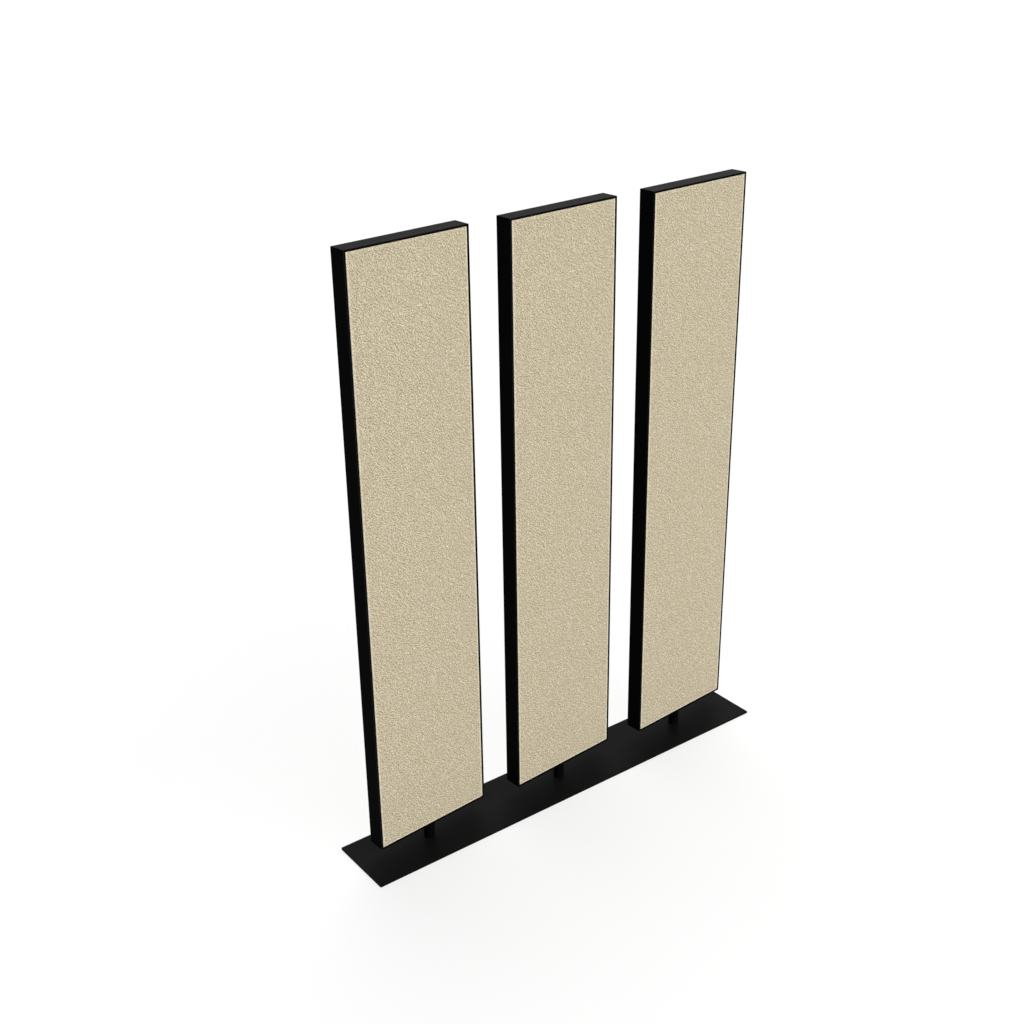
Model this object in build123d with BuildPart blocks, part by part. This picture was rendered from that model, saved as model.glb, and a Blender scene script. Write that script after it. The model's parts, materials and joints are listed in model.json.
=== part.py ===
"""Room divider: three tall upholstered panels that turn on posts over one steel base plate.

Millimetres. X runs along the base, the fronts face -Y and Z is up. The origin is on the floor
under the middle post.
"""

import os
from math import cos, radians, sin, sqrt

from build123d import *

# The row of panels
panel_names = ("left", "middle", "right")
panel_pitch = 450.0
panel_width = 350.0
panel_height = 1600.0
panel_depth = 50.0
panel_lift = 60.0
panel_turn = 4.0  # degrees, how far each panel stands turned on its post

# Base plate and the pads under it
plate_length = 1340.0
plate_width = 200.0
plate_thickness = 5.0
plate_corner = 3.0
plate_edge = 0.5
pad_diameter = 25.0
pad_thickness = 1.5
pad_inset = 7.5
pads_along = 4

# Posts, each turned from one bar: a stout foot below the panel and a spindle inside it
post_diameter = 30.0
post_edge = 0.6
spindle_diameter = 20.0
spindle_tip = 3.0
spindle_chamfer = 1.5
post_screws_per_post = 3
post_screw_circle = 18.0
post_tap_depth = 14.0

# Bushes and the sleeve that holds them
running_clearance = 0.05
bush_wall = 1.95
bush_flange = 2.0
bush_length = 22.0
sleeve_wall = 2.0
sleeve_height = 380.0
seat_length = 110.0
seat_margin = 2.0
seat_corner = 2.0
seat_thickness = 6.0
seat_screw_span = 84.0
seat_screw_gauge = 16.0

# Retaining clip in the groove near the spindle's tip
clip_thickness = 1.2
clip_groove_depth = 0.5
clip_groove_play = 0.05
clip_play = 0.4
clip_width = 2.6
clip_offset = 0.7
clip_gap = 7.0
clip_lug = 2.6
clip_lug_hole = 1.0

# Extruded frame profile: an outer web with two ribs, each with a return along its edge
web = 5.0
rib = 2.0
profile_reach = 15.0
return_thickness = 2.0
return_height = 4.0
frame_edge = 0.5
frame_corner = 1.0
notch_margin = 5.0

# Corner brackets in the channel between the ribs, and their grub screws
bracket_thickness = 5.0
bracket_leg = 45.0
bracket_clearance = 0.3
grub_diameter = 5.0
grub_socket = 2.5
grub_socket_depth = 2.5
grub_end_distance = 14.0

# Covers: a board wrapped in fabric on each side, held by hook strips on the stiles' ribs
cover_recess = 0.4
cover_reveal = 0.4
board_thickness = 6.0
board_edge = 1.2
fabric_thickness = 0.8
fabric_return = 20.0
strip_thickness = 1.2
strip_width = 8.0
strip_end_distance = 60.0

# Acoustic core between the covers
core_clearance = 0.1
core_margin = 0.5
core_slot_margin = 2.0
core_slot_headroom = 15.0

# Countersunk screws with a hexagon socket
seat_clearance = 0.1
thread_clearance = 0.03
press_clearance = 0.02
post_screw_diameter = 6.0
post_screw_head = 12.0
post_screw_length = 16.0
post_screw_socket = 4.0
post_screw_socket_depth = 2.2
sleeve_screw_diameter = 5.0
sleeve_screw_head = 10.0
sleeve_screw_length = 10.0
sleeve_screw_socket = 3.0
sleeve_screw_socket_depth = 1.9
screw_tip = 0.5

# Heights above the floor
plate_top = pad_thickness + plate_thickness
shoulder_height = panel_lift - bush_flange

# Radii about a post's axis
post_radius = post_diameter / 2
spindle_radius = spindle_diameter / 2
bush_bore_radius = spindle_radius + running_clearance
sleeve_bore_radius = bush_bore_radius + bush_wall
sleeve_radius = sleeve_bore_radius + sleeve_wall
bush_radius = sleeve_bore_radius - press_clearance
groove_radius = spindle_radius - clip_groove_depth

# Heights above a panel's underside
seat_top = web + seat_thickness
sleeve_top = web + sleeve_height
clip_bottom = sleeve_top + bush_flange + clip_play
clip_top = clip_bottom + clip_thickness
spindle_top = clip_top + spindle_tip

# Distances from a panel's mid-plane, towards either face
cover_front = panel_depth / 2 - cover_recess
board_back = cover_front - fabric_thickness - board_thickness
cover_back = board_back - fabric_thickness
rib_outside = cover_back - strip_thickness
rib_inside = rib_outside - rib

# Widths and heights inside the frame's lip
cover_width = panel_width - 2 * (web + cover_reveal)
cover_height = panel_height - 2 * (web + cover_reveal)
board_width = cover_width - 2 * fabric_thickness
board_height = cover_height - 2 * fabric_thickness
core_inset = profile_reach + core_margin
seat_width = 2 * (sleeve_radius + seat_margin)

# A panel's own frame: its pivot at the origin, X along its width, Z up from its underside
panel_x = (cos(radians(panel_turn)), sin(radians(panel_turn)), 0)
post_places = [(i - (len(panel_names) - 1) / 2) * panel_pitch for i in range(len(panel_names))]
panel_planes = {
    name: Plane((x, 0, panel_lift), x_dir=panel_x, z_dir=(0, 0, 1))
    for name, x in zip(panel_names, post_places)
}
post_planes = {name: Plane((x, 0, 0)) for name, x in zip(panel_names, post_places)}
faces = {"front": Plane.XZ, "back": Plane((0, 0, 0), x_dir=(-1, 0, 0), z_dir=(0, 1, 0))}
downwards = (180, 0, 0)  # degrees, turns a plane over about its X axis


def write(piece, label, planes=(Plane.XY,)):
    """Stands the piece on each plane and writes the result as one named node."""
    with BuildPart(*planes) as placed:
        add(piece.part)
    placed.part.label = label
    export_step(placed.part, f"parts/{label}.step")


def countersunk_screw(diameter, head, length, socket, socket_depth):
    """Screw that stands on its head and points up, with its socket in the underside."""
    with BuildPart() as screw:
        with BuildSketch(Plane.XZ):
            with BuildLine():
                Polyline(
                    (0, 0),
                    (head / 2, 0),
                    (diameter / 2, (head - diameter) / 2),
                    (diameter / 2, length - screw_tip),
                    (diameter / 2 - screw_tip, length),
                    (0, length),
                    close=True,
                )
            make_face()
        revolve(axis=Axis.Z)
        with BuildSketch(Plane.XY):
            RegularPolygon(socket / 2, side_count=6, major_radius=False)
        extrude(amount=socket_depth, mode=Mode.SUBTRACT)
    return screw


def base_plate():
    """Flat steel plate with three countersunk holes from beneath for each post."""
    with BuildPart() as plate:
        with BuildSketch(Plane.XY.offset(pad_thickness)):
            RectangleRounded(plate_length, plate_width, plate_corner)
        extrude(amount=plate_thickness)
        fillet(plate.faces().sort_by(Axis.Z)[-1].edges(), plate_edge)
        for x in post_places:
            with Locations(Plane((x, 0, pad_thickness)).rotated(downwards)):
                with PolarLocations(post_screw_circle / 2, post_screws_per_post):
                    CounterSinkHole(
                        post_screw_diameter / 2 + seat_clearance,
                        post_screw_head / 2 + seat_clearance,
                        depth=plate_thickness,
                        counter_sink_angle=90,
                    )
    return plate


def floor_pads():
    """Thin round pads in two rows under the plate's long edges."""
    pad_row = plate_length - pad_diameter - 2 * pad_inset
    pad_gauge = plate_width - pad_diameter - 2 * pad_inset
    with BuildPart() as pads:
        with BuildSketch(Plane.XY):
            with GridLocations(pad_row / (pads_along - 1), pad_gauge, pads_along, 2):
                Circle(pad_diameter / 2)
        extrude(amount=pad_thickness)
    return pads


def post():
    """Foot with its shoulder under the panel, and the spindle with the clip's groove."""
    groove_bottom = panel_lift + clip_bottom - clip_groove_play
    groove_top = panel_lift + clip_top + clip_groove_play
    tip = panel_lift + spindle_top
    with BuildPart() as turned:
        with BuildSketch(Plane.XZ):
            with BuildLine():
                Polyline(
                    (0, plate_top),
                    (post_radius, plate_top),
                    (post_radius, shoulder_height - post_edge),
                    (post_radius - post_edge, shoulder_height),
                    (spindle_radius, shoulder_height),
                    (spindle_radius, groove_bottom),
                    (groove_radius, groove_bottom),
                    (groove_radius, groove_top),
                    (spindle_radius, groove_top),
                    (spindle_radius, tip - spindle_chamfer),
                    (spindle_radius - spindle_chamfer, tip),
                    (0, tip),
                    close=True,
                )
            make_face()
        revolve(axis=Axis.Z)
        with Locations(Plane.XY.offset(plate_top).rotated(downwards)):
            with PolarLocations(post_screw_circle / 2, post_screws_per_post):
                Hole(post_screw_diameter / 2 + thread_clearance, depth=post_tap_depth)
    return turned


def post_screws():
    """The screws of one post, up through the plate."""
    screw = countersunk_screw(
        post_screw_diameter,
        post_screw_head,
        post_screw_length,
        post_screw_socket,
        post_screw_socket_depth,
    )
    with BuildPart(Plane.XY.offset(pad_thickness)) as screws:
        with PolarLocations(post_screw_circle / 2, post_screws_per_post):
            add(screw.part)
    return screws


def spindle_clip():
    """Open spring ring with an eyed lug at each end, in the spindle's groove."""
    ring_inside = groove_radius + press_clearance
    ring_outside = ring_inside + clip_width
    lug_x = clip_gap / 2 + clip_lug
    lug_y = -sqrt((ring_inside + clip_lug) ** 2 - lug_x**2)
    with BuildPart() as clip:
        with BuildSketch(Plane.XY.offset(panel_lift + clip_bottom)):
            with Locations((0, clip_offset)):
                Circle(ring_outside)
            Rectangle(clip_gap, ring_outside, align=(Align.CENTER, Align.MAX), mode=Mode.SUBTRACT)
            with Locations((lug_x, lug_y), (-lug_x, lug_y)):
                Circle(clip_lug)
                Circle(clip_lug_hole, mode=Mode.SUBTRACT)
            Circle(ring_inside, mode=Mode.SUBTRACT)
        extrude(amount=clip_thickness)
    return clip


def frame_member(outer, length):
    """Mitred length of profile, its tips eased: the plane lies across it, X in from its outer face."""
    with BuildPart() as member:
        with BuildSketch(outer) as profile:
            with BuildLine():
                Polyline(
                    (0, 0),
                    (0, panel_depth / 2),
                    (web, panel_depth / 2),
                    (web, rib_outside),
                    (profile_reach, rib_outside),
                    (profile_reach, rib_inside - return_height),
                    (profile_reach - return_thickness, rib_inside - return_height),
                    (profile_reach - return_thickness, rib_inside),
                    (web, rib_inside),
                    (web, 0),
                    close=True,
                )
            make_face()
            mirror(about=Plane.XZ)
            across = profile.vertices().group_by(Axis.Y)
            fillet(across[0] + across[-1], frame_edge)
        extrude(amount=length)
        split(bisect_by=Plane(outer.origin, z_dir=outer.z_dir - outer.x_dir), keep=Keep.TOP)
        far_end = outer.offset(length).origin
        split(bisect_by=Plane(far_end, z_dir=-outer.z_dir - outer.x_dir), keep=Keep.TOP)
        with BuildSketch(Plane.XZ):
            with Locations((0, panel_height / 2)):
                RectangleRounded(panel_width, panel_height, frame_corner)
        extrude(amount=panel_depth / 2, both=True, mode=Mode.INTERSECT)
    return member


def stile(side):
    """Upright of the frame; side is -1 for the left one and 1 for the right one."""
    outer = Plane((side * panel_width / 2, 0, 0), x_dir=(-side, 0, 0), z_dir=(0, 0, 1))
    return frame_member(outer, panel_height)


def top_rail():
    """Upper rail, the same profile laid along X with its channel facing down."""
    outer = Plane((-panel_width / 2, 0, panel_height), x_dir=(0, 0, -1), z_dir=(1, 0, 0))
    return frame_member(outer, panel_width)


def bottom_rail():
    """Lower rail, its ribs milled away round the sleeve's seat and its web drilled for it."""
    outer = Plane((-panel_width / 2, 0, 0), x_dir=(0, 0, 1), z_dir=(1, 0, 0))
    whole = frame_member(outer, panel_width)
    with BuildPart() as rail:
        add(whole.part)
        with BuildSketch(Plane.XY.offset(web)):
            Rectangle(seat_length + 2 * notch_margin, panel_depth)
        extrude(amount=profile_reach, mode=Mode.SUBTRACT)
        with BuildSketch(Plane.XY):
            Circle(sleeve_bore_radius)
        extrude(amount=web, mode=Mode.SUBTRACT)
        with Locations(Plane.XY.rotated(downwards)):
            with GridLocations(seat_screw_span, seat_screw_gauge, 2, 2):
                CounterSinkHole(
                    sleeve_screw_diameter / 2 + seat_clearance,
                    sleeve_screw_head / 2 + seat_clearance,
                    depth=web,
                    counter_sink_angle=90,
                )
    return rail


def corner_planes():
    """A plane at each corner of the frame, X and Y pointing in along the two members."""
    for side in (-1, 1):
        for end, height in ((1, 0), (-1, panel_height)):
            corner = (side * panel_width / 2, 0, height)
            yield Plane(corner, x_dir=(-side, 0, 0), z_dir=(0, side * end, 0))


def corner_brackets():
    """An angle in each corner, drawn up against the returns of the two members it joins."""
    inside = profile_reach - return_thickness
    outside = inside - bracket_thickness
    with BuildPart() as brackets:
        for corner in corner_planes():
            with BuildSketch(corner):
                with BuildLine():
                    Polyline(
                        (outside, outside),
                        (outside + bracket_leg, outside),
                        (outside + bracket_leg, inside),
                        (inside, inside),
                        (inside, outside + bracket_leg),
                        (outside, outside + bracket_leg),
                        close=True,
                    )
                make_face()
            extrude(amount=rib_inside - bracket_clearance, both=True)
            for hole in grub_planes(corner, outside):
                with BuildSketch(hole):
                    Circle(grub_diameter / 2 + thread_clearance)
                extrude(amount=bracket_thickness, mode=Mode.SUBTRACT)
    return brackets


def grub_planes(corner, depth):
    """Planes for the grub screws of one corner, facing inwards at a depth below the faces."""
    along = profile_reach + bracket_leg - grub_end_distance
    yield Plane(corner.from_local_coords((along, depth, 0)), z_dir=corner.y_dir)
    yield Plane(corner.from_local_coords((depth, along, 0)), z_dir=corner.x_dir)


def corner_screws():
    """Grub screws through the brackets' legs that push against the members' webs."""
    with BuildPart() as screws:
        for corner in corner_planes():
            for seat in grub_planes(corner, web):
                with BuildSketch(seat):
                    Circle(grub_diameter / 2)
                extrude(amount=profile_reach - return_thickness - web)
                with BuildSketch(seat.offset(profile_reach - return_thickness - web)):
                    RegularPolygon(grub_socket / 2, side_count=6, major_radius=False)
                extrude(amount=-grub_socket_depth, mode=Mode.SUBTRACT)
    return screws


def pivot_sleeve():
    """Tube that holds the bushes, welded on its seat on the bottom rail."""
    with BuildPart() as sleeve:
        with BuildSketch(Plane.XY.offset(web)):
            Rectangle(seat_length, seat_width)
        extrude(amount=seat_thickness)
        fillet(sleeve.edges().filter_by(Axis.Z), seat_corner)
        with BuildSketch(Plane.XY.offset(web)):
            Circle(sleeve_radius)
        extrude(amount=sleeve_height)
        with BuildSketch(Plane.XY.offset(web)):
            Circle(sleeve_bore_radius)
        extrude(amount=sleeve_height, mode=Mode.SUBTRACT)
        with Locations(Plane.XY.offset(seat_top)):
            with GridLocations(seat_screw_span, seat_screw_gauge, 2, 2):
                Hole(sleeve_screw_diameter / 2 + thread_clearance, depth=seat_thickness)
    return sleeve


def sleeve_screws():
    """Screws from under the bottom rail into the sleeve's seat."""
    screw = countersunk_screw(
        sleeve_screw_diameter,
        sleeve_screw_head,
        sleeve_screw_length,
        sleeve_screw_socket,
        sleeve_screw_socket_depth,
    )
    with BuildPart() as screws:
        with GridLocations(seat_screw_span, seat_screw_gauge, 2, 2):
            add(screw.part)
    return screws


def bush(seat):
    """Flanged plain bush whose barrel goes into the sleeve along the plane's normal."""
    with BuildPart() as flanged:
        with BuildSketch(seat):
            Circle(post_radius)
            Circle(bush_bore_radius, mode=Mode.SUBTRACT)
        extrude(amount=-bush_flange)
        with BuildSketch(seat):
            Circle(bush_radius)
            Circle(bush_bore_radius, mode=Mode.SUBTRACT)
        extrude(amount=bush_length)
    return flanged


def core():
    """Felt slab that fills the frame, with a slot from below for the sleeve."""
    thickness = 2 * (cover_back - core_clearance)
    slot_width = post_diameter + 2 * core_slot_margin
    slot_height = spindle_top + core_slot_headroom - core_inset
    with BuildPart() as slab:
        with BuildSketch(Plane.XZ):
            with Locations((0, core_inset)):
                Rectangle(
                    panel_width - 2 * core_inset,
                    panel_height - 2 * core_inset,
                    align=(Align.CENTER, Align.MIN),
                )
                Rectangle(
                    slot_width,
                    slot_height,
                    align=(Align.CENTER, Align.MIN),
                    mode=Mode.SUBTRACT,
                )
            with Locations((0, core_inset + slot_height)):
                Circle(slot_width / 2, mode=Mode.SUBTRACT)
        extrude(amount=thickness / 2, both=True)
    return slab


def board(face):
    """Flat board that stiffens one cover, its front edges eased."""
    with BuildPart() as panel:
        with BuildSketch(face.offset(board_back)):
            with Locations((0, panel_height / 2)):
                Rectangle(board_width, board_height)
        extrude(amount=board_thickness)
        front = panel.faces().sort_by(Axis((0, 0, 0), face.z_dir))[-1]
        fillet(front.edges(), board_edge)
    return panel


def fabric_cover(face, backing):
    """Fabric drawn over the board's face and edges and turned over its back."""
    with BuildPart() as cover:
        with BuildSketch(face.offset(cover_back)):
            with Locations((0, panel_height / 2)):
                Rectangle(cover_width, cover_height)
        extrude(amount=cover_front - cover_back)
        front = cover.faces().sort_by(Axis((0, 0, 0), face.z_dir))[-1]
        fillet(front.edges(), board_edge + fabric_thickness)
        add(backing.part, mode=Mode.SUBTRACT)
        with BuildSketch(face.offset(cover_back)):
            with Locations((0, panel_height / 2)):
                Rectangle(cover_width - 2 * fabric_return, cover_height - 2 * fabric_return)
        extrude(amount=fabric_thickness, mode=Mode.SUBTRACT)
    return cover


def hook_strips():
    """Hook tape on the outside of the stiles' ribs, which grips the covers' turned-in fabric."""
    strip_middle = (web + profile_reach) / 2
    with BuildPart() as strips:
        for face in faces.values():
            with BuildSketch(face.offset(rib_outside)):
                with Locations((0, panel_height / 2)):
                    with GridLocations(panel_width - 2 * strip_middle, 0, 2, 1):
                        Rectangle(strip_width, panel_height - 2 * strip_end_distance)
            extrude(amount=strip_thickness)
    return strips


os.makedirs("parts", exist_ok=True)

write(base_plate(), "base_plate")
write(floor_pads(), "floor_pads")
write(post_screws(), "post_screws", post_planes.values())
write(spindle_clip(), "spindle_clips", post_planes.values())
turned_post = post()
for name, plane in post_planes.items():
    write(turned_post, f"{name}_post", [plane])

boards = {side: board(face) for side, face in faces.items()}
panel_pieces = {
    "left_stile": stile(-1),
    "right_stile": stile(1),
    "top_rail": top_rail(),
    "bottom_rail": bottom_rail(),
    "corner_brackets": corner_brackets(),
    "corner_screws": corner_screws(),
    "pivot_sleeve": pivot_sleeve(),
    "sleeve_screws": sleeve_screws(),
    "lower_bush": bush(Plane.XY),
    "upper_bush": bush(Plane.XY.offset(sleeve_top).rotated(downwards)),
    "core": core(),
    "hook_strips": hook_strips(),
}
for side, face in faces.items():
    panel_pieces[f"{side}_board"] = boards[side]
    panel_pieces[f"{side}_fabric"] = fabric_cover(face, boards[side])

for name, plane in panel_planes.items():
    for label, piece in panel_pieces.items():
        write(piece, f"{name}_panel_{label}", [plane])
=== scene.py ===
"""Room divider: fabric covers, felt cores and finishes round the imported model.

Metres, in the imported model's frame: X runs along the base, the fronts face -Y and Z is up.
"""

import json

from math import cos, pi, radians, sin

import bpy
from mathutils import Matrix, Vector


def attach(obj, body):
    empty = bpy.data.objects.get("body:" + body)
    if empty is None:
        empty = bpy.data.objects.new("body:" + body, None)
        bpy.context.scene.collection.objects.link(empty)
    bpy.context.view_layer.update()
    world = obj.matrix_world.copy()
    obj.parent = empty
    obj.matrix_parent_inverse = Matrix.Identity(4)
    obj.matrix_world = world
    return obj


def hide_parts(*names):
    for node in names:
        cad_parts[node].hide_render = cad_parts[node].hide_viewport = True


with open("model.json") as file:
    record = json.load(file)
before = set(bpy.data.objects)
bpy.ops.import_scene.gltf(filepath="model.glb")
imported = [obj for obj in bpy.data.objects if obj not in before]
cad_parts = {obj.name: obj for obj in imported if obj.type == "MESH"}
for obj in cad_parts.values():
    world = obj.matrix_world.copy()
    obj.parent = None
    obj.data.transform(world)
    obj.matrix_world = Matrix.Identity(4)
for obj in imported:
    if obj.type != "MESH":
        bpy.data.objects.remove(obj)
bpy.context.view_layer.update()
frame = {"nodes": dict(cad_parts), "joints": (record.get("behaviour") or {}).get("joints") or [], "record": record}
nodes = frame["nodes"]

mm = 0.001
panel_turn = radians(4)  # how far each panel stands turned on its post
panel_bodies = ("left_panel", "middle_panel", "right_panel")

# Covers: fabric wrapped over the front, the edges and a strip of the back of a board
fabric_thickness = 0.8 * mm
front_fold = 2.0 * mm
back_fold = 1.0 * mm
turned_under = 20 * mm
highlight_band = 4 * mm  # along an edge, where a highlight is painted onto the fabric
highlight_fade = 2 * mm
highlight_at_top = 0.3  # less there, because the upper fold catches the light anyway
slack_height = 0.15 * mm
slack_spread = 60 * mm
cell = 9 * mm
fabric_weld = 0.02 * mm

# Weave: warp yarns upright and weft yarns level, with either on top of a crossing by chance
yarn = 2.2 * mm
weave_drift = 45 * mm  # over such a distance the yarns wander by up to one yarn
yarn_fullness = 0.6  # below 1 a yarn's section is fuller than a half sine
yarn_dip = 0.4  # what a yarn loses of its height where the other set comes over it
fleck_pace = 0.7  # flecks that a yarn has for each crossing
yarns_apart = 7.3  # keeps the flecks of neighbouring yarns unlike each other
warp_flecks, weft_flecks = 1.5, 9.5  # keep the flecks of the two sets unlike each other
tone_draw, top_draw = 1, 3  # two independent draws for each crossing
fibres = 1.5  # fibres along a yarn for each crossing
fibre_slimness = 5  # how much longer than wide a fibre is
weave_relief = 0.4 * mm
fabric_shades = ((0.29, 0.228, 0.112), (0.549, 0.469, 0.306), (0.85, 0.776, 0.612))

# What each cause adds to the fabric's tone
tone_of_fleck = 0.9
tone_of_crossing = 1.2
tone_of_warp = 0.3
tone_of_fibre = 0.5
# painted shade: the yarns darker where they sink to the gaps and paler on their tops
shade_in_gaps = 0.7
tone_of_edge_highlight = 0.4
usual_height = 0.64
crossing_at_gap = 0.4  # share of a crossing's own tone that is left beside its gaps

# Frames: black, with a highlight painted along their upright outer edges
arris_highlight_width = 1.0 * mm
arris_highlight_tone = 0.02

# Cores: felt slabs with eased edges
felt_weld = 0.01 * mm
felt_cell = 6 * mm
felt_easing = 0.5
felt_easing_rounds = 2

# Studio: each lamp has the side its light comes from, a level and a spread in degrees
ambient = 0.4
floor_grey = 0.18
floor_glow = 0.735
floor_size = 160
lamps = {
    "front_lamp": ((0.35, -0.95, 0.4), 0.97, 80),
    "top_lamp": ((0.26, 0.26, 1), 0.62, 30),
    "back_lamp": ((0.5, 0.9, 0.45), 0.62, 80),
}

# Camera
lens = 50
sensor = 36
camera_place = Vector((-2.137873, -2.673888, 2.428457))
camera_aim = Vector((-0.153225, 0, 0.889743))
camera_roll = radians(-0.894)

# Sockets of the Mix node for colours, which share their names with others of that node
mix_factor, mix_first, mix_second, mix_result = 0, 6, 7, 2


def panel_place(body):
    """Where a panel's own frame stands: its pivot, turned with the panel."""
    pivot = next(Vector(joint["pos_m"]) for joint in frame["joints"] if joint["child"] == body)
    return Matrix.Translation(pivot) @ Matrix.Rotation(panel_turn, 4, "Z")


def size_seen_from(place, node):
    """Lowest and highest corner of a node in the frame of a place."""
    from_there = place.inverted()
    points = [from_there @ vertex.co for vertex in nodes[node].data.vertices]
    return Vector(map(min, zip(*points))), Vector(map(max, zip(*points)))


class Value:
    """What one socket gives. Sums of values add Math nodes to their tree."""

    def __init__(self, tree, socket):
        self.tree = tree
        self.socket = socket

    def of(self, output):
        """Another output of the same node."""
        return Value(self.tree, self.socket.node.outputs[output])

    def maths(self, operation, *others):
        return self.tree.maths(operation, self, *others)

    def __add__(self, other):
        return self.tree.maths("ADD", self, other)

    def __radd__(self, other):
        return self.tree.maths("ADD", other, self)

    def __sub__(self, other):
        return self.tree.maths("SUBTRACT", self, other)

    def __rsub__(self, other):
        return self.tree.maths("SUBTRACT", other, self)

    def __mul__(self, other):
        return self.tree.maths("MULTIPLY", self, other)

    def __rmul__(self, other):
        return self.tree.maths("MULTIPLY", other, self)

    def __truediv__(self, other):
        return self.tree.maths("DIVIDE", self, other)

    def __rtruediv__(self, other):
        return self.tree.maths("DIVIDE", other, self)


class Tree:
    """A node tree with one method that adds any node."""

    def __init__(self, node_tree):
        self.nodes = node_tree.nodes
        self.links = node_tree.links

    def add(self, kind, settings=None, inputs=None, output=0):
        """Adds a node, sets it up, then fills or links its inputs, and returns one output."""
        node = self.nodes.new(kind)
        for name, value in (settings or {}).items():
            if name == "stops":
                elements = node.color_ramp.elements
                while len(elements) < len(value):
                    elements.new(1)
                for stop, (position, colour) in zip(elements, value):
                    stop.position = position
                    stop.color = (*colour, 1)
            else:
                setattr(node, name, value)
        for name, value in (inputs or {}).items():
            if isinstance(value, Value):
                self.links.new(value.socket, node.inputs[name])
            else:
                node.inputs[name].default_value = value
        return Value(self, node.outputs[output]) if node.outputs else None

    def maths(self, operation, *terms):
        return self.add("ShaderNodeMath", {"operation": operation}, dict(enumerate(terms)))


def new_finish(name):
    """An empty material and its tree."""
    made = bpy.data.materials.new(name)
    made.use_nodes = True
    made.node_tree.nodes.clear()
    return made, Tree(made.node_tree)


def lay_on(tree, colour, roughness, relief, relief_depth, **levels):
    """Joins a finish's colour, roughness and relief in one shader, with its even levels."""
    bump = tree.add("ShaderNodeBump", {}, {"Distance": relief_depth, "Height": relief})
    inputs = {"Base Color": colour, "Roughness": roughness, "Normal": bump}
    for name, level in levels.items():
        inputs[name.replace("_", " ").title().replace("Ior", "IOR")] = level
    shader = tree.add("ShaderNodeBsdfPrincipled", {}, inputs)
    tree.add("ShaderNodeOutputMaterial", {}, {"Surface": shader})


def object_place(tree, stretch=(1, 1, 1), turn=(0, 0, 0)):
    """Places on the piece in metres, turned and then stretched for a grain that runs one way."""
    place = tree.add("ShaderNodeTexCoord", output="Object")
    return tree.add("ShaderNodeMapping", {}, {"Vector": place, "Rotation": turn, "Scale": stretch})


def noise(tree, place, size, detail=2.0, roughness=0.5):
    """Soft noise from 0 to 1 whose patches have about the given size."""
    inputs = {"Vector": place, "Scale": 1 / size, "Detail": detail, "Roughness": roughness}
    return tree.add("ShaderNodeTexNoise", {}, inputs)


def by_chance(tree, x, y, z):
    """A number from 0 to 1, chosen anew wherever one of the three given numbers changes."""
    key = tree.add("ShaderNodeCombineXYZ", {}, {"X": x, "Y": y, "Z": z})
    return tree.add("ShaderNodeTexWhiteNoise", {"noise_dimensions": "3D"}, {"Vector": key})


def ramp(tree, value, *stops):
    """The colour that a value has on a scale between the stops."""
    return tree.add("ShaderNodeValToRGB", {"stops": stops}, {"Fac": value})


def float_height(side, along, on_before, on_after):
    """Height of a yarn on top of a crossing, over its width and along it.

    It is round across, and along it dips where the other set comes next.
    """
    later = along.maths("GREATER_THAN", 0.5)
    runs_on = later * on_after + (1 - later) * on_before
    arch = runs_on + (1 - runs_on) * (along * pi).maths("SINE")
    section = (side * pi).maths("SINE").maths("POWER", yarn_fullness)
    return section * (1 - yarn_dip + yarn_dip * arch)


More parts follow.
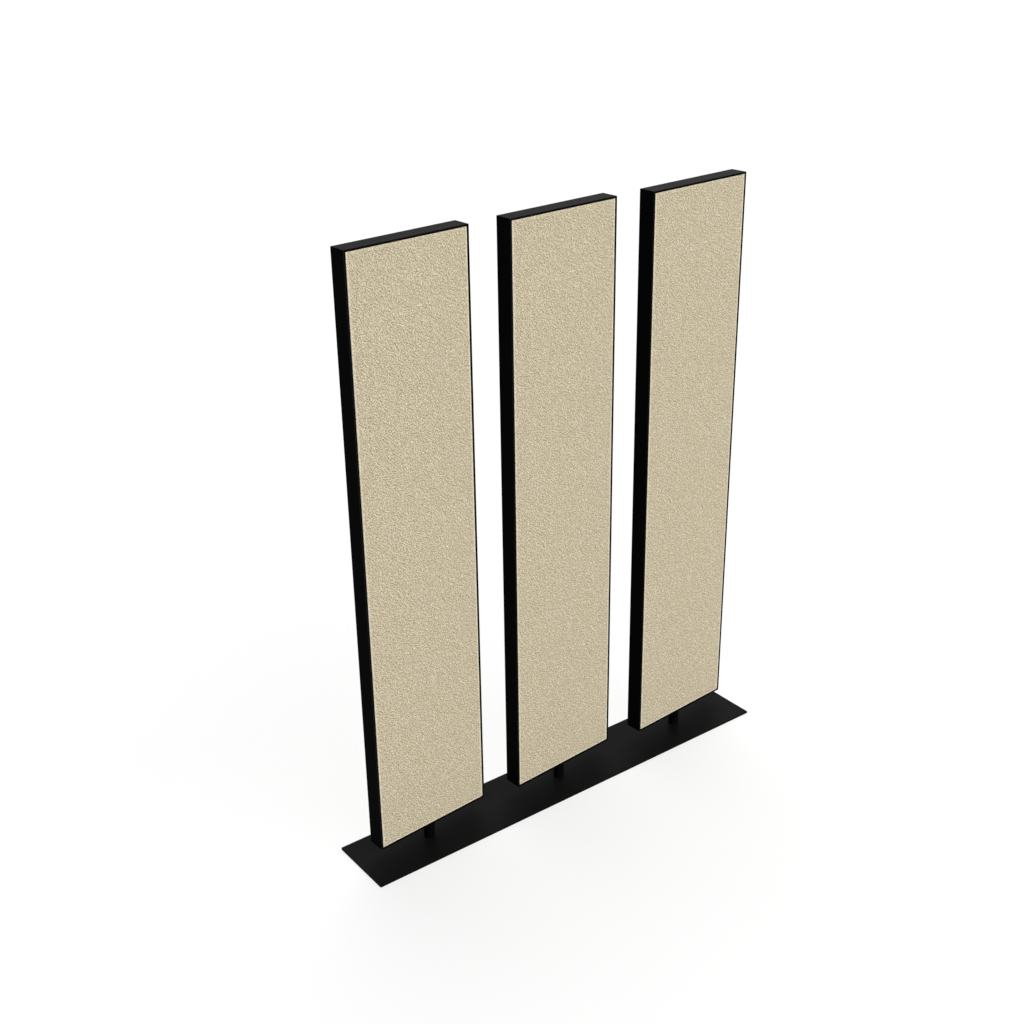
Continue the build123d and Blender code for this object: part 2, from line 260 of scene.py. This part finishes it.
def crepe_beige():
    """Crepe weave of flecked yarns: at each crossing, chance says which yarn lies on top."""
    made, tree = new_finish("beige_fabric")
    flat = tree.add("ShaderNodeAttribute", {"attribute_name": "flat_place"}, output="Vector")
    drift_inputs = {"Vector": flat, "Scale": 1 / weave_drift, "Detail": 1}
    drift = tree.add("ShaderNodeTexNoise", {}, drift_inputs, output="Color")
    shift = {"operation": "MULTIPLY_ADD"}
    bent = tree.add("ShaderNodeVectorMath", shift, {0: drift, 1: (yarn, yarn, yarn), 2: flat})
    by_yarn = {0: bent, "Scale": 1 / yarn}
    counted = tree.add("ShaderNodeVectorMath", {"operation": "SCALE"}, by_yarn)
    across = tree.add("ShaderNodeSeparateXYZ", {}, {"Vector": counted}, output="X")
    up = across.of("Y")
    column, row = across.maths("FLOOR"), up.maths("FLOOR")
    over_column, over_row = across.maths("FRACT"), up.maths("FRACT")

    def warp_on_top(columns_on, rows_on):
        draw = by_chance(tree, column + columns_on, row + rows_on, top_draw)
        return draw.maths("LESS_THAN", 0.5)

    def along_yarns(x, y, set_of_yarns):
        place = tree.add("ShaderNodeCombineXYZ", {}, {"X": x, "Y": y, "Z": set_of_yarns})
        return tree.add("ShaderNodeTexNoise", {}, {"Vector": place, "Scale": 1, "Detail": 1})

    # Relief: the yarn on top stays up over the next crossing if it lies on top there too
    warp_up = warp_on_top(0, 0)
    weft_up = 1 - warp_up
    warp_height = float_height(over_column, over_row, warp_on_top(0, -1), warp_on_top(0, 1))
    weft_before, weft_after = 1 - warp_on_top(-1, 0), 1 - warp_on_top(1, 0)
    weft_height = float_height(over_row, over_column, weft_before, weft_after)
    height = warp_up * warp_height + weft_up * weft_height

    # Tone: each yarn has flecks of its own, and each crossing differs from the next ones, most in
    # its middle. Fibres run along the yarn, gaps get painted shade and edges a painted highlight
    warp_fleck = along_yarns(column * yarns_apart, up * fleck_pace, warp_flecks)
    weft_fleck = along_yarns(across * fleck_pace, row * yarns_apart, weft_flecks)
    fleck = warp_up * warp_fleck + weft_up * weft_fleck
    right_one = by_chance(tree, column + 1, row, tone_draw)
    upper_one = by_chance(tree, column, row + 1, tone_draw)
    unlike = by_chance(tree, column, row, tone_draw) - 0.5 * (right_one + upper_one)
    unlike = unlike * (crossing_at_gap + (1 - crossing_at_gap) * height)
    slimmer = fibre_slimness - 1
    squeezed = {"X": across * (1 + slimmer * warp_up), "Y": up * (1 + slimmer * weft_up)}
    fibre_place = tree.add("ShaderNodeCombineXYZ", {}, squeezed)
    fibre_inputs = {"Vector": fibre_place, "Scale": fibres, "Detail": 2}
    fibre = tree.add("ShaderNodeTexNoise", {}, fibre_inputs)
    edge_highlight = tree.add("ShaderNodeAttribute", {"attribute_name": "drawn_over"}, output="Fac")
    tone = (
        0.5
        + tone_of_fleck * (fleck - 0.5)
        + tone_of_crossing * unlike
        + tone_of_warp * (warp_up - 0.5)
        + tone_of_fibre * (fibre - 0.5)
        # painted shade in the gaps between yarns, and paler yarn tops
        + shade_in_gaps * (height - usual_height)
        # painted highlight: paler fabric in a band along the face's edges
        + tone_of_edge_highlight * edge_highlight
    )
    lay_on(
        tree,
        ramp(tree, tone, *zip((0.0, 0.5, 1.0), fabric_shades)),
        0.86 + 0.08 * fibre,
        height + 0.15 * fibre,
        weave_relief,
        specular_ior_level=0.2,
        sheen_weight=0.08,
        sheen_roughness=0.5,
    )
    return made


def frame_arrises(tree):
    """1 on the upright outer edges of the panels' frames, fading to 0 close beside them.

    The panels are alike and stand a pitch apart, so each is brought to the middle one's place.
    """
    half_size = size_seen_from(panel_place("middle_panel"), "middle_panel_top_rail")[1]
    pivots = [joint["pos_m"][0] for joint in frame["joints"]]
    pitch = pivots[1] - pivots[0]
    x = tree.add("ShaderNodeSeparateXYZ", {}, {"Vector": object_place(tree)}, output="X")
    y = x.of("Y")
    x = x - pitch * (x / pitch).maths("ROUND")
    along = (x * cos(panel_turn) + y * sin(panel_turn)).maths("ABSOLUTE")
    through = (y * cos(panel_turn) - x * sin(panel_turn)).maths("ABSOLUTE")
    beside = (half_size.x - along).maths("MAXIMUM", half_size.y - through)
    return (1 - beside / arris_highlight_width).maths("MAXIMUM", 0)


def powder_coat(name, tone, roughness, grain, gloss, arris_highlight=None):
    """Black powder coat: a fine even grain, a faint change of gloss, and if given a highlight painted along edges.
    """
    made, tree = new_finish(name)
    place = object_place(tree)
    pebble = noise(tree, place, grain, 3.0, 0.55)
    cloud = noise(tree, place, 90 * mm, 3.0)
    dark = (tone * 0.75, tone * 0.75, tone * 0.76)
    pale = (tone * 1.25, tone * 1.24, tone * 1.22)
    colour = ramp(tree, 0.6 * cloud + 0.4 * pebble, (0.25, dark), (0.75, pale))
    # painted highlight on the frames' upright outer edges, as if a rounded edge caught the light
    if arris_highlight:
        highlight_colour = (arris_highlight_tone, arris_highlight_tone, arris_highlight_tone, 1)
        both = {mix_factor: arris_highlight(tree), mix_first: colour, mix_second: highlight_colour}
        colour = tree.add("ShaderNodeMix", {"data_type": "RGBA"}, both, output=mix_result)
    rough = roughness + 0.12 * (cloud - 0.5) + 0.08 * (pebble - 0.5)
    lay_on(tree, colour, rough, pebble, 0.03 * mm, specular_ior_level=gloss)
    return made


def fibreboard():
    """Pressed wood fibre: short pale and dark fibres that lie every way."""
    made, tree = new_finish("fibreboard")
    lengthwise = noise(tree, object_place(tree, (1, 1, 0.2), (0, 0.6, 0)), 0.9 * mm)
    crosswise = noise(tree, object_place(tree, (0.2, 1, 1), (0, -0.4, 0)), 0.9 * mm)
    cloud = noise(tree, object_place(tree), 50 * mm, 3.0)
    fibre = 0.4 * lengthwise + 0.4 * crosswise + 0.2 * cloud
    browns = (0.3, (0.2, 0.12, 0.06)), (0.5, (0.36, 0.24, 0.13)), (0.7, (0.5, 0.36, 0.22))
    lay_on(tree, ramp(tree, fibre, *browns), 0.7 + 0.2 * fibre, fibre, 0.05 * mm)
    return made


def grey_felt():
    """Needled felt of dark and light grey fibres."""
    made, tree = new_finish("core_felt")
    one_way = noise(tree, object_place(tree, (1, 1, 0.12), (0, 0.9, 0.3)), 0.7 * mm)
    other_way = noise(tree, object_place(tree, (0.12, 1, 1), (0.5, 0.5, 0)), 0.7 * mm)
    tuft = noise(tree, object_place(tree), 6 * mm)
    fibre = 0.4 * one_way + 0.4 * other_way + 0.2 * tuft
    greys = (0.35, (0.06, 0.06, 0.065)), (0.5, (0.16, 0.16, 0.17)), (0.65, (0.36, 0.36, 0.37))
    colour = ramp(tree, fibre, *greys)
    lay_on(tree, colour, 0.85 + 0.1 * fibre, fibre, 0.3 * mm, sheen_weight=0.2)
    return made


def bare_metal(name, tint, roughness, grain, stretch):
    """Bare metal with fine lines left by rolling or turning."""
    made, tree = new_finish(name)
    lines = noise(tree, object_place(tree, stretch), grain, 4.0, 0.6)
    cloud = noise(tree, object_place(tree), 20 * mm, 3.0)
    dull = tuple(0.78 * c for c in tint)
    colour = ramp(tree, 0.5 * lines + 0.5 * cloud, (0.3, dull), (0.65, tint))
    rough = roughness + 0.18 * (lines - 0.5) + 0.14 * (cloud - 0.5)
    lay_on(tree, colour, rough, lines, 0.01 * mm, metallic=1.0)
    return made


def moulded(name, tint, roughness, grain):
    """Moulded polymer or rubber with a fine matt grain and a few paler specks."""
    made, tree = new_finish(name)
    place = object_place(tree)
    pebble = noise(tree, place, grain)
    specks = noise(tree, place, 3 * grain, 1.0).maths("POWER", 4)
    pale = tuple(min(1, 2.4 * c) for c in tint)
    colour = ramp(tree, specks * 2 + 0.1 * pebble, (0.1, tint), (0.9, pale))
    rough = roughness + 0.15 * (pebble - 0.5)
    lay_on(tree, colour, rough, pebble, 0.04 * mm, specular_ior_level=0.35)
    return made


def hook_tape():
    """Black tape whose face is covered in rows of small hooks."""
    made, tree = new_finish("hook_tape")
    row_pitch = 1.2 * mm
    place = object_place(tree, turn=(0, 0, -panel_turn))
    across = tree.add("ShaderNodeSeparateXYZ", {}, {"Vector": place}, output="X")
    rows = (across * (2 * pi / row_pitch)).maths("SINE")
    steps = (across.of("Z") * (2 * pi / row_pitch)).maths("SINE")
    hooks = (rows * steps * 0.5 + 0.5).maths("POWER", 3)
    fuzz = noise(tree, place, 0.3 * mm)
    blacks = (0.1, (0.008, 0.008, 0.008)), (0.9, (0.05, 0.05, 0.05))
    colour = ramp(tree, 0.8 * hooks + 0.2 * fuzz, *blacks)
    relief = hooks + 0.2 * fuzz
    lay_on(tree, colour, 0.5 + 0.3 * fuzz, relief, 0.5 * mm, specular_ior_level=0.4)
    return made


finishes = {
    "beige_fabric": crepe_beige(),
    "frame_black": powder_coat(
        "frame_black", tone=0.0035, roughness=0.4, grain=0.7 * mm, gloss=0.002, arris_highlight=frame_arrises
    ),
    "post_black": powder_coat(
        "post_black", tone=0.003, roughness=0.4, grain=0.7 * mm, gloss=0.004
    ),
    "plate_black": powder_coat(
        "plate_black", tone=0.006, roughness=0.45, grain=0.9 * mm, gloss=0.007
    ),
    "fibreboard": fibreboard(),
    "core_felt": grey_felt(),
    "bracket_aluminium": bare_metal(
        "bracket_aluminium",
        (0.72, 0.72, 0.73),
        roughness=0.42,
        grain=0.5 * mm,
        stretch=(1, 0.05, 1),
    ),
    "screw_steel": bare_metal(
        "screw_steel", (0.6, 0.6, 0.58), roughness=0.34, grain=0.4 * mm, stretch=(1, 1, 0.2)
    ),
    "sleeve_steel": bare_metal(
        "sleeve_steel", (0.5, 0.5, 0.5), roughness=0.45, grain=0.5 * mm, stretch=(1, 1, 0.05)
    ),
    "clip_steel": bare_metal(
        "clip_steel", (0.12, 0.12, 0.13), roughness=0.5, grain=0.4 * mm, stretch=(1, 1, 1)
    ),
    "bush_polymer": moulded("bush_polymer", (0.03, 0.03, 0.032), roughness=0.55, grain=0.3 * mm),
    "hook_tape": hook_tape(),
    "pad_rubber": moulded("pad_rubber", (0.015, 0.015, 0.015), roughness=0.8, grain=0.5 * mm),
}


def finish_cad_nodes():
    """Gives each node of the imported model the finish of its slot."""
    for part in frame["record"]["subparts"]:
        materials = nodes[part["node"]].data.materials
        materials.clear()
        materials.append(finishes[part["material_slot"]])


def fold_lines(half_size, depth):
    """Where a cut of fabric has its lines along one axis: closer together where it folds."""
    band = [half_size - highlight_band - highlight_fade, half_size - highlight_band]
    over_front_fold = (-1, -0.75, -0.5, -0.25, 0, 0.3, 0.6, 0.95)
    front = [half_size + front_fold * share for share in over_front_fold]
    behind = [half_size + depth + back_fold * share for share in (-1, -0.5, 0, 0.5, 1)]
    hem = [half_size + depth + turned_under * share for share in (0.4, 0.7, 1)]
    steps = round(2 * band[0] / cell)
    middle = [band[0] * (2 * step / steps - 1) for step in range(1, steps)]
    folded = band + front + behind + hem
    return [-line for line in reversed(folded)] + middle + folded


def cut_fabric(half_width, half_height, depth):
    """The flat piece of fabric for one cover, with a square cut out at each corner."""
    columns = fold_lines(half_width, depth)
    rows = fold_lines(half_height, depth)
    points = [(x, 0, z) for z in rows for x in columns]
    wide = len(columns)

    def cut_out(x, z):
        return abs(x) > half_width and abs(z) > half_height

    squares = [
        (i + j * wide, i + 1 + j * wide, i + 1 + (j + 1) * wide, i + (j + 1) * wide)
        for j in range(len(rows) - 1)
        for i in range(wide - 1)
        if not cut_out((columns[i] + columns[i + 1]) / 2, (rows[j] + rows[j + 1]) / 2)
    ]
    mesh = bpy.data.meshes.new("cut_fabric")
    mesh.from_pydata(points, [], squares)
    return mesh


def wrap_tree():
    """Geometry nodes that wrap a flat cut over the face, edges and back of a board.

    A point beyond the face's edge goes down the side by that much, and then in over the back.
    """
    tree_data = bpy.data.node_groups.new("wrap_over_board", "GeometryNodeTree")
    face = tree_data.interface
    face.new_socket("Cut", in_out="INPUT", socket_type="NodeSocketGeometry")
    sizes = ("Half Width", "Half Height", "Depth", "Front Fold", "Back Fold")
    for name in sizes + ("Slack", "Slack Spread", "Seed"):
        face.new_socket(name, in_out="INPUT", socket_type="NodeSocketFloat")
    face.new_socket("Material", in_out="INPUT", socket_type="NodeSocketMaterial")
    face.new_socket("Cover", in_out="OUTPUT", socket_type="NodeSocketGeometry")
    tree = Tree(tree_data)
    given = tree.add("NodeGroupInput")
    half_width, half_height, depth, front, back = (given.of(name) for name in sizes)
    spread = given.of("Slack Spread")

    place = tree.add("GeometryNodeInputPosition")
    flat_x = tree.add("ShaderNodeSeparateXYZ", {}, {"Vector": place}, output="X")
    flat_z = flat_x.of("Z")
    far_x, far_z = flat_x.maths("ABSOLUTE"), flat_z.maths("ABSOLUTE")
    over = (far_x - half_width).maths("MAXIMUM", far_z - half_height).maths("MAXIMUM", 0)
    down = over.maths("MINIMUM", depth)
    inset = over - down
    x = far_x.maths("MINIMUM", half_width - inset)
    z = far_z.maths("MINIMUM", half_height - inset)

    # Folds are rounded: each point is drawn to a radius about the nearest point of a smaller box
    radius = back + (front - back) * (1 - down / depth)
    inner_x = x.maths("MINIMUM", half_width - radius)
    inner_z = z.maths("MINIMUM", half_height - radius)
    inner_down = down.maths("MAXIMUM", radius).maths("MINIMUM", depth - radius)
    inner = tree.add("ShaderNodeCombineXYZ", {}, {"X": inner_x, "Y": inner_down, "Z": inner_z})
    sharp = tree.add("ShaderNodeCombineXYZ", {}, {"X": x, "Y": down, "Z": z})
    outwards = tree.add("ShaderNodeVectorMath", {"operation": "SUBTRACT"}, {0: sharp, 1: inner})
    outwards = tree.add("ShaderNodeVectorMath", {"operation": "NORMALIZE"}, {0: outwards})
    to_radius = {0: outwards, "Scale": radius}
    outwards = tree.add("ShaderNodeVectorMath", {"operation": "SCALE"}, to_radius)
    rounded = tree.add("ShaderNodeVectorMath", {"operation": "ADD"}, {0: inner, 1: outwards})

    # The stretched face lies very slightly uneven, and not at all where it is pulled over an edge
    seeded = {"Vector": place, "W": given.of("Seed"), "Scale": 1 / spread, "Detail": 1}
    uneven = tree.add("ShaderNodeTexNoise", {"noise_dimensions": "4D"}, seeded)
    from_edge = (half_width - far_x).maths("MINIMUM", half_height - far_z)
    held = (from_edge / spread).maths("MINIMUM", 1).maths("MAXIMUM", 0)
    lift = uneven * held * given.of("Slack")
    split = tree.add("ShaderNodeSeparateXYZ", {}, {"Vector": rounded}, output="X")
    wrapped_place = {
        "X": split * flat_x.maths("SIGN"),
        "Y": split.of("Y") - lift,
        "Z": split.of("Z") * flat_z.maths("SIGN"),
    }
    wrapped = tree.add("ShaderNodeCombineXYZ", {}, wrapped_place)

    # Two marks for the weave: where each point lay on the flat cut, and where a highlight is painted along the
    # face's edges
    flat_place = tree.add("ShaderNodeCombineXYZ", {}, {"X": flat_x, "Y": flat_z})
    marked = tree.add(
        "GeometryNodeStoreNamedAttribute",
        {"data_type": "FLOAT_VECTOR", "domain": "POINT"},
        {"Geometry": given.of("Cut"), "Name": "flat_place", "Value": flat_place},
    )

    # Painted highlight: a paler band along the face's edges, weaker along the top
    def highlight_from(distance):
        fading = (highlight_band + highlight_fade - distance) / highlight_fade
        return fading.maths("MINIMUM", 1).maths("MAXIMUM", 0)

    at_sides = highlight_from(half_width - far_x)
    at_top = highlight_at_top * highlight_from(half_height - flat_z)
    at_bottom = highlight_from(half_height + flat_z)
    drawn_over = at_sides.maths("MAXIMUM", at_top.maths("MAXIMUM", at_bottom))
    marked = tree.add(
        "GeometryNodeStoreNamedAttribute",
        {"data_type": "FLOAT", "domain": "POINT"},
        {"Geometry": marked, "Name": "drawn_over", "Value": drawn_over},
    )

    moved = tree.add("GeometryNodeSetPosition", {}, {"Geometry": marked, "Position": wrapped})
    weld = {"Geometry": moved, "Distance": fabric_weld}
    joined = tree.add("GeometryNodeMergeByDistance", {}, weld)
    smooth = tree.add("GeometryNodeSetShadeSmooth", {}, {"Geometry": joined})
    real = tree.add("GeometryNodeRealizeInstances", {}, {"Geometry": smooth})
    look = {"Geometry": real, "Material": given.of("Material")}
    coloured = tree.add("GeometryNodeSetMaterial", {}, look)
    tree.add("NodeGroupOutput", {}, {"Cover": coloured})
    return tree_data


def with_tree(piece, tree_data, **inputs):
    """Puts a node tree on a piece, with its inputs set by their sockets' identifiers."""
    modifier = piece.modifiers.new(tree_data.name, "NODES")
    modifier.node_group = tree_data
    for item in tree_data.interface.items_tree:
        name = item.name.lower().replace(" ", "_")
        if name in inputs:
            modifier[item.identifier] = inputs[name]


def new_piece(name, data):
    """An object in the scene for a mesh, a lamp or a camera."""
    piece = bpy.data.objects.new(name, data)
    bpy.context.scene.collection.objects.link(piece)
    return piece


def made_plain(name, working, place):
    """The working object as a plain mesh piece that stands at a place; the working one goes."""
    bpy.context.view_layer.update()
    seen = working.evaluated_get(bpy.context.evaluated_depsgraph_get())
    mesh = bpy.data.meshes.new_from_object(seen)
    mesh.transform(place)
    mesh.name = name
    bpy.data.objects.remove(working)
    return new_piece(name, mesh)


def make_covers(tree_data):
    """A front and a back cover for each panel, in the place of its packed fabric."""
    for number, body in enumerate(panel_bodies):
        for side, turned in (("front", 0), ("back", pi)):
            node = f"{body}_{side}_fabric"
            place = panel_place(body) @ Matrix.Rotation(turned, 4, "Z")
            low, high = size_seen_from(place, node)
            half_width, half_height = (high.x - low.x) / 2, (high.z - low.z) / 2
            depth = high.y - low.y
            working = new_piece(node + "_cut", cut_fabric(half_width, half_height, depth))
            with_tree(
                working,
                tree_data,
                half_width=half_width,
                half_height=half_height,
                depth=depth,
                front_fold=front_fold,
                back_fold=back_fold,
                slack=slack_height,
                slack_spread=slack_spread,
                seed=2.0 * number + turned,
                material=finishes["beige_fabric"],
            )
            cloth = working.modifiers.new("thickness", "SOLIDIFY")
            cloth.thickness = fabric_thickness
            cloth.offset = -1  # inwards, so that a cover is no larger than its packed fabric
            face = Matrix.Translation((0, low.y, (low.z + high.z) / 2))
            cover = made_plain(f"{body}_{side}_cover", working, place @ face)
            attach(cover, body)
            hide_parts(node)


def make_cores():
    """A felt slab for each panel, softened from its packed core and no larger anywhere."""
    for body in panel_bodies:
        node = f"{body}_core"
        place = panel_place(body)
        mesh = nodes[node].data.copy()
        mesh.transform(place.inverted())
        working = new_piece(node + "_slab", mesh)
        weld = working.modifiers.new("weld", "WELD")
        weld.merge_threshold = felt_weld
        remesh = working.modifiers.new("felt", "REMESH")
        remesh.mode = "VOXEL"
        remesh.voxel_size = felt_cell
        remesh.use_smooth_shade = True
        ease = working.modifiers.new("ease", "SMOOTH")
        ease.factor = felt_easing
        ease.iterations = felt_easing_rounds
        core = made_plain(f"{body}_felt", working, place)
        core.data.materials.clear()
        core.data.materials.append(finishes["core_felt"])
        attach(core, body)
        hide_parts(node)


def rays_that_see(tree):
    """1 for camera, mirror and glass rays, 0 for the rays that carry soft light."""
    camera_ray = tree.add("ShaderNodeLightPath", output="Is Camera Ray")
    mirror, glass = camera_ray.of("Is Glossy Ray"), camera_ray.of("Is Transmission Ray")
    return camera_ray.maths("MAXIMUM", mirror).maths("MAXIMUM", glass)


def studio():
    """A pale floor, white surroundings that light the object only dimly, and the soft lamps."""
    world = bpy.data.worlds.new("studio")
    world.use_nodes = True
    world.node_tree.nodes.clear()
    bpy.context.scene.world = world
    tree = Tree(world.node_tree)
    strength = ambient + (1 - ambient) * rays_that_see(tree)
    sky = tree.add("ShaderNodeBackground", {}, {"Color": (1, 1, 1, 1), "Strength": strength})
    tree.add("ShaderNodeOutputWorld", {}, {"Surface": sky})

    half = floor_size / 2
    corners = [(-half, -half, 0), (half, -half, 0), (half, half, 0), (-half, half, 0)]
    mesh = bpy.data.meshes.new("floor")
    mesh.from_pydata(corners, [], [(0, 1, 2, 3)])
    floor = new_piece("floor", mesh)
    made, tree = new_finish("floor")
    colour = (floor_grey, floor_grey, floor_grey, 1)
    grey = tree.add("ShaderNodeBsdfDiffuse", {}, {"Color": colour})
    glow = tree.add("ShaderNodeEmission", {}, {"Strength": floor_glow * rays_that_see(tree)})
    both = tree.add("ShaderNodeAddShader", {}, {0: grey, 1: glow})
    tree.add("ShaderNodeOutputMaterial", {}, {"Surface": both})
    mesh.materials.append(made)

    for name, (towards, level, spread) in lamps.items():
        lamp = bpy.data.lights.new(name, "SUN")
        lamp.energy = level * pi
        lamp.angle = radians(spread)
        stand = new_piece(name, lamp)
        stand.rotation_mode = "QUATERNION"
        stand.rotation_quaternion = Vector(towards).to_track_quat("Z", "Y")


def camera():
    """The camera of the picture: a normal lens, a little above the panels, seen from the left."""
    data = bpy.data.cameras.new("camera")
    data.lens = lens
    data.sensor_width = sensor
    data.clip_end = floor_size
    stand = new_piece("camera", data)
    ahead = (camera_aim - camera_place).normalized()
    level = ahead.cross(Vector((0, 0, 1))).normalized()
    above = level.cross(ahead)
    right = cos(camera_roll) * level + sin(camera_roll) * above
    up = cos(camera_roll) * above - sin(camera_roll) * level
    turned = Matrix((right, up, -ahead)).transposed().to_4x4()
    stand.matrix_world = Matrix.Translation(camera_place) @ turned
    bpy.context.scene.camera = stand


bpy.context.scene.view_settings.view_transform = "Standard"
camera()
studio()
finish_cad_nodes()
make_covers(wrap_tree())
make_cores()
